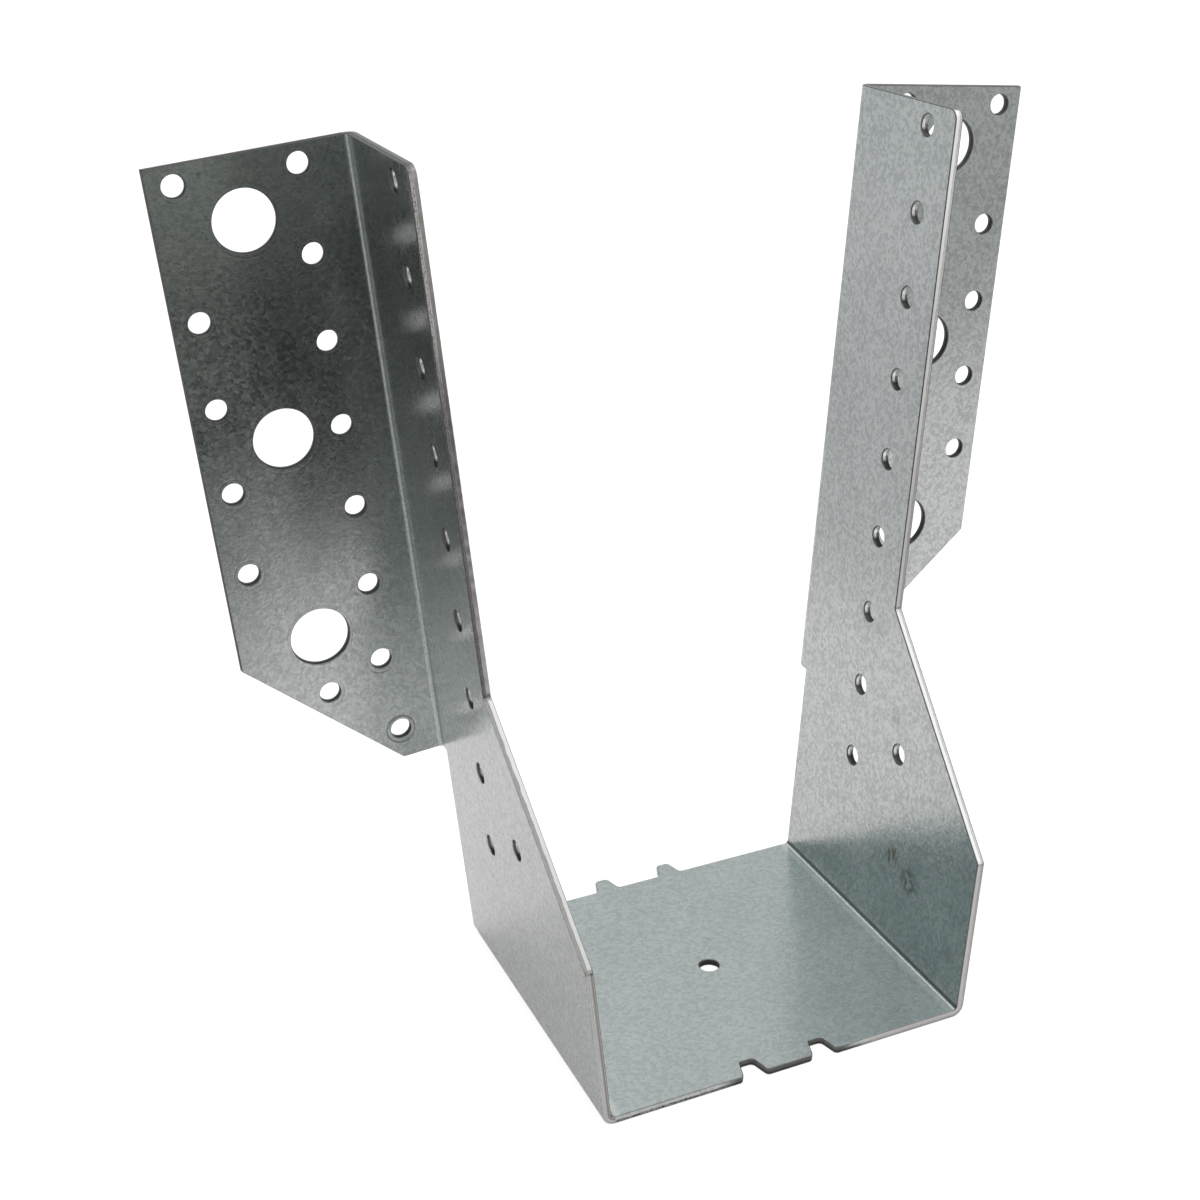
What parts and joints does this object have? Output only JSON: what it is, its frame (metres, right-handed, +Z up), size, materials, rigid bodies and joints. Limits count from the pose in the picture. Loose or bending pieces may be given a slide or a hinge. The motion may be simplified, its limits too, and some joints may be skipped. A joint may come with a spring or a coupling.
{
  "type": "joist hanger",
  "caption": "U-shaped joist hanger folded from galvanised steel sheet: flat seat, splayed side walls with nail holes, and outward flanges with nail and bolt holes.",
  "frame": {"origin": "middle of the box round the part at its base: on the plane of symmetry, level with the seat's underside, half-way between the header's face and the seat's front edge", "axes": "+Z up from the seat, +Y towards the header that the flanges are fixed to, +X to the right when one looks at the header"},
  "size_m": [0.2184, 0.088, 0.2062],
  "materials": {
    "galvanised_steel": "hot-dip galvanised, fine mottled spangle, bare cut edges"
  },
  "bodies": {
    "root": {"hanger": "galvanised_steel"}
  },
  "joints": []
}
